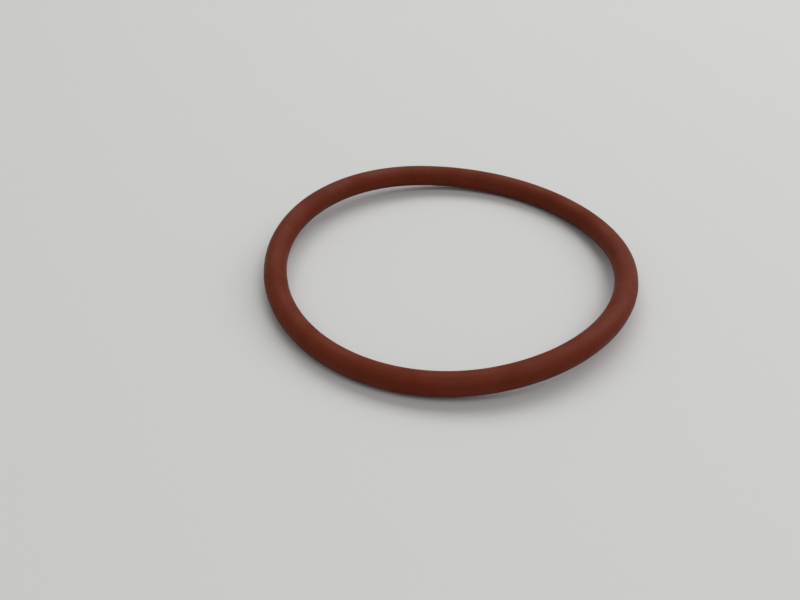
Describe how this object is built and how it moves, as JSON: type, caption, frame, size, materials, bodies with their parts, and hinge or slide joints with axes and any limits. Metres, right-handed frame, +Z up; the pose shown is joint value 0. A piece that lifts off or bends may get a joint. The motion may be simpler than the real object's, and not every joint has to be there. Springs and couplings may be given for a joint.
{
  "type": "silicone o-ring",
  "caption": "Closed ring of brick-red silicone rubber with a round section, a static seal squeezed in a groove between two parts.",
  "frame": {"origin": "on the surface that the ring lies on, under the middle of the ring", "axes": "+Z up, through the ring's hole; the two raised crests are on the X axis, and the two feet that the ring rests on are on the Y axis"},
  "size_m": [0.0586, 0.0586, 0.0053],
  "materials": {
    "silicone": "matte"
  },
  "bodies": {
    "root": {"o_ring": "silicone"}
  },
  "joints": []
}
